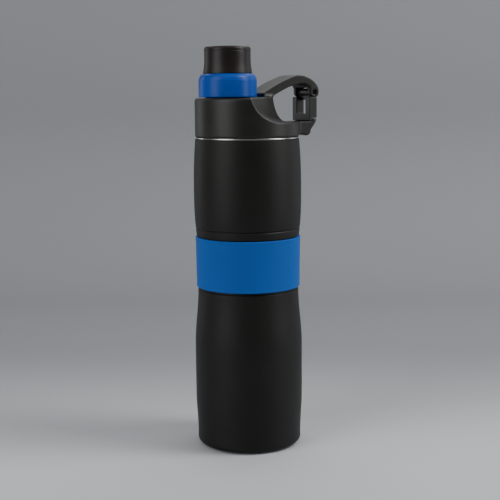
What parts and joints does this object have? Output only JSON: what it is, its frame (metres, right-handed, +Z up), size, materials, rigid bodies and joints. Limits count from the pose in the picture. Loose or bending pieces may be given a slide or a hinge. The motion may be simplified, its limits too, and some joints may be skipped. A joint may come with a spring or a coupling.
{
  "type": "insulated water bottle",
  "caption": "Double-wall steel water bottle with a waist band, a screw-off lid, an off-centre screw cap over a drinking spout, and a carabiner carry loop with a sprung gate.",
  "frame": {"origin": "centre of the base cover's flat underside, on the bottle's axis, where it stands", "axes": "+Z up along the bottle's axis, +X towards the carry loop, +Y to the left of the loop seen from above with the loop pointing ahead"},
  "size_m": [0.0857, 0.0734, 0.27],
  "materials": {
    "powder_coat": "matte powder coat",
    "bare_steel": "brushed",
    "spring_steel": "drawn wire",
    "foil": "bright foil",
    "seal_metal": "dull sintered",
    "blue_silicone": "matte moulded",
    "clear_silicone": "satin moulded",
    "black_plastic": "satin moulded",
    "cap_black": "soft satin",
    "cap_blue": "half gloss"
  },
  "bodies": {
    "bottle": {"outer_shell": "powder_coat", "inner_vessel": "bare_steel", "radiation_foil": "foil", "outer_base": "bare_steel", "vacuum_seal": "seal_metal", "getter": "seal_metal", "base_cover": "bare_steel", "grip_band": "blue_silicone"},
    "lid_carrier": {"lid_gasket": "clear_silicone"},
    "lid": {"lid_body": "black_plastic", "lid_plug": "black_plastic", "spout": "black_plastic", "spout_gasket": "clear_silicone", "gate_pin": "spring_steel", "gate_spring": "spring_steel"},
    "gate": {"gate": "black_plastic"},
    "cap_carrier": {"cap_seal": "clear_silicone"},
    "cap": {"cap_shell": "cap_black", "cap_ring": "cap_blue", "cap_liner": "black_plastic"}
  },
  "joints": [
    {"name": "lid_lift", "type": "slide", "parent": "bottle", "child": "lid_carrier", "axis": [0, 0, 1], "range_m": [0, 0.0081]},
    {"name": "lid_turn", "type": "hinge", "parent": "lid_carrier", "child": "lid", "pos_m": [0, 0, 0.2106], "axis": [0, 0, 1], "range_deg": [0, 720]},
    {"name": "cap_lift", "type": "slide", "parent": "lid", "child": "cap_carrier", "axis": [0, 0, 1], "range_m": [0, 0.0061]},
    {"name": "cap_turn", "type": "hinge", "parent": "cap_carrier", "child": "cap", "pos_m": [-0.014, 0, 0.2363], "axis": [0, 0, 1], "range_deg": [0, 720]},
    {"name": "gate_swing", "type": "hinge", "parent": "lid", "child": "gate", "pos_m": [0.0454, 0, 0.2397], "axis": [0, 1, 0], "range_deg": [0, 35], "stiffness_Nm_per_rad": 0.02, "springref_deg": -11.46, "deforming": ["gate_spring"]}
  ],
  "couplings": [
    {"joint": "lid_lift", "follows": "lid_turn", "m_per_rad": 0.00063662},
    {"joint": "cap_lift", "follows": "cap_turn", "m_per_rad": 0.00047746}
  ]
}
